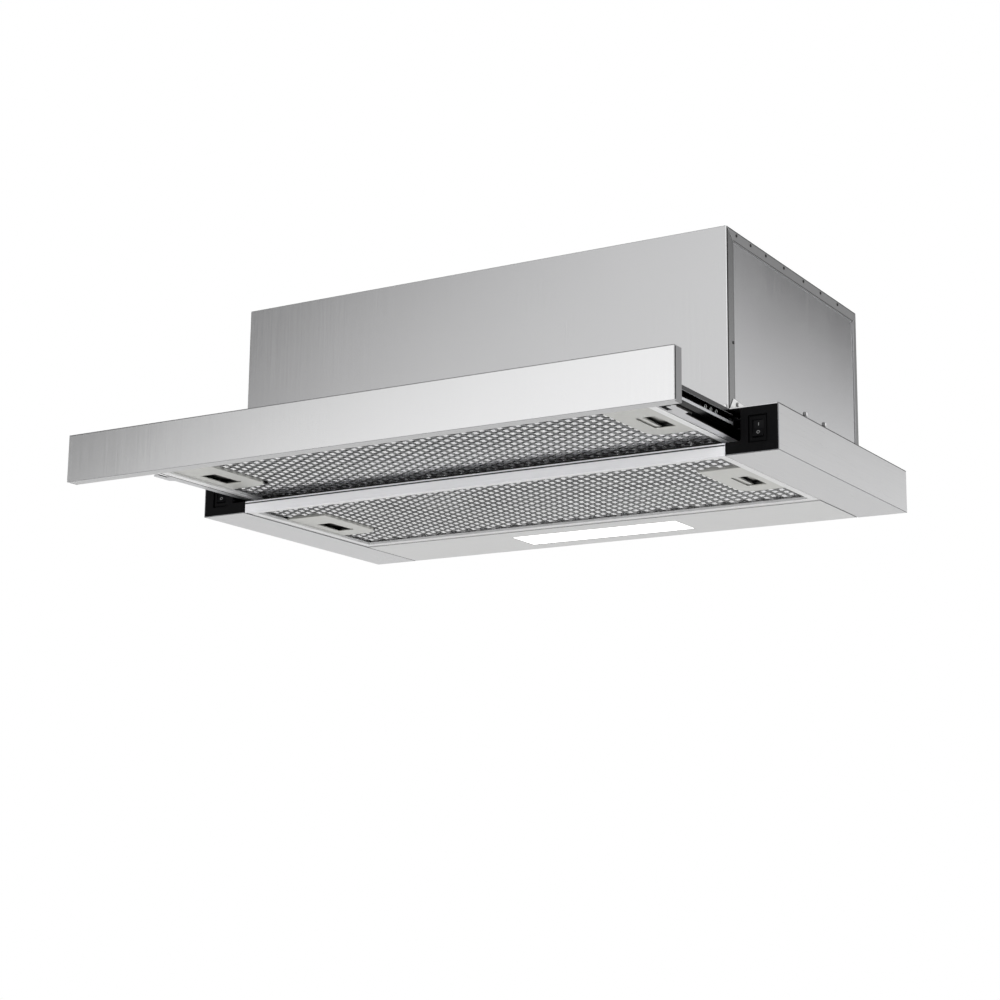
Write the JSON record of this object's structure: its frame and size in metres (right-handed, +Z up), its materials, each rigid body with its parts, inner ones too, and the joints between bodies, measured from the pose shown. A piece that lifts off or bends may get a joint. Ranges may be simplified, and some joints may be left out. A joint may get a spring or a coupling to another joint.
{
  "type": "slide-out range hood",
  "caption": "Slide-out under cabinet range hood with a folded steel canopy, a pull-out filter drawer on ball slides, grease filters, rocker switches, a light and a blower in a box housing.",
  "frame": {"origin": "middle of the four fixing holes, on the top face of the canopy", "axes": "+X to the right seen from the front, +Y from the front to the wall, +Z up"},
  "size_m": [0.598, 0.483, 0.2315],
  "materials": {
    "stainless": "brushed stainless sheet",
    "crossbar_aluminium": "satin anodised",
    "galvanised": "galvanised sheet",
    "slide_steel": "bright zinc plated",
    "fasteners": "zinc plated",
    "filter_aluminium": "bright rolled",
    "filter_mesh": "expanded foil",
    "latch_steel": "satin pressed sheet",
    "black_plastic": "fine spark texture",
    "rocker_plastic": "satin moulded",
    "grey_plastic": "moulded",
    "led_opal": "opal, lit from behind",
    "circuit_board": "solder resist",
    "white_plastic": "moulded case",
    "motor_steel": "plated stator case"
  },
  "bodies": {
    "hood": {"canopy_top": "stainless", "canopy_side_left": "stainless", "canopy_side_right": "stainless", "front_crossbar": "crossbar_aluminium", "light_panel": "stainless", "led_diffuser": "led_opal", "led_board": "circuit_board", "led_driver": "white_plastic", "control_block_left": "black_plastic", "control_block_right": "black_plastic", "switch_body_left": "black_plastic", "switch_body_right": "black_plastic", "housing_front": "stainless", "housing_side_left": "stainless", "housing_side_right": "stainless", "housing_back": "stainless", "housing_top": "stainless", "housing_rivets": "fasteners", "housing_screws": "fasteners", "housing_brackets": "galvanised", "slide_bracket_left": "galvanised", "slide_bracket_right": "galvanised", "slide_rail_left": "slide_steel", "slide_rail_right": "slide_steel", "rear_filter_frame": "filter_aluminium", "rear_filter_mesh": "filter_mesh", "rear_latch_plates": "latch_steel", "scroll_wrap": "galvanised", "scroll_sides": "galvanised", "motor_body": "motor_steel", "motor_bracket": "galvanised", "motor_capacitor": "white_plastic", "terminal_box": "black_plastic", "cable_gland": "black_plastic", "duct_collar": "black_plastic"},
    "drawer": {"drawer_front": "stainless", "drawer_end_cap_left": "grey_plastic", "drawer_end_cap_right": "grey_plastic", "drawer_side_left": "galvanised", "drawer_side_right": "galvanised", "drawer_cover": "galvanised", "drawer_rear_bar": "galvanised", "slide_channel_left": "slide_steel", "slide_channel_right": "slide_steel", "front_filter_frame": "filter_aluminium", "front_filter_mesh": "filter_mesh", "front_latch_plates": "latch_steel"},
    "cage_left": {"ball_cage_left": "slide_steel"},
    "cage_right": {"ball_cage_right": "slide_steel"},
    "rocker_left": {"rocker_left": "rocker_plastic"},
    "rocker_right": {"rocker_right": "rocker_plastic"},
    "front_latch_left": {"front_latch_left": "latch_steel"},
    "front_latch_right": {"front_latch_right": "latch_steel"},
    "rear_latch_left": {"rear_latch_left": "latch_steel"},
    "rear_latch_right": {"rear_latch_right": "latch_steel"},
    "fan": {"impeller": "grey_plastic", "motor_shaft": "fasteners"},
    "flap_front": {"flap_front": "grey_plastic"},
    "flap_rear": {"flap_rear": "grey_plastic"}
  },
  "joints": [
    {"name": "drawer_slide", "type": "slide", "parent": "hood", "child": "drawer", "axis": [0, 1, 0], "range_m": [0, 0.176]},
    {"name": "cage_left_slide", "type": "slide", "parent": "hood", "child": "cage_left", "axis": [0, 1, 0], "range_m": [0, 0.088]},
    {"name": "cage_right_slide", "type": "slide", "parent": "hood", "child": "cage_right", "axis": [0, 1, 0], "range_m": [0, 0.088]},
    {"name": "rocker_left_tilt", "type": "hinge", "parent": "hood", "child": "rocker_left", "pos_m": [-0.28, -0.1446, -0.0198], "axis": [1, 0, 0], "range_deg": [0, 18]},
    {"name": "rocker_right_tilt", "type": "hinge", "parent": "hood", "child": "rocker_right", "pos_m": [0.28, -0.1446, -0.0198], "axis": [1, 0, 0], "range_deg": [0, 18]},
    {"name": "front_latch_left_slide", "type": "slide", "parent": "drawer", "child": "front_latch_left", "axis": [1, 0, 0], "range_m": [0, 0.0025], "stiffness_N_per_m": 400},
    {"name": "front_latch_right_slide", "type": "slide", "parent": "drawer", "child": "front_latch_right", "axis": [-1, 0, 0], "range_m": [0, 0.0025], "stiffness_N_per_m": 400},
    {"name": "rear_latch_left_slide", "type": "slide", "parent": "hood", "child": "rear_latch_left", "axis": [1, 0, 0], "range_m": [0, 0.0025], "stiffness_N_per_m": 400},
    {"name": "rear_latch_right_slide", "type": "slide", "parent": "hood", "child": "rear_latch_right", "axis": [-1, 0, 0], "range_m": [0, 0.0025], "stiffness_N_per_m": 400},
    {"name": "fan_spin", "type": "hinge", "parent": "hood", "child": "fan", "pos_m": [0, -0.04, 0.078], "axis": [1, 0, 0], "continuous": true},
    {"name": "flap_front_swing", "type": "hinge", "parent": "hood", "child": "flap_front", "pos_m": [0, 0.011, 0.1655], "axis": [-1, 0, 0], "range_deg": [0, 80]},
    {"name": "flap_rear_swing", "type": "hinge", "parent": "hood", "child": "flap_rear", "pos_m": [0, 0.019, 0.1655], "axis": [1, 0, 0], "range_deg": [0, 80]}
  ],
  "couplings": [
    {"joint": "cage_left_slide", "follows": "drawer_slide", "ratio": 0.5},
    {"joint": "cage_right_slide", "follows": "drawer_slide", "ratio": 0.5}
  ]
}
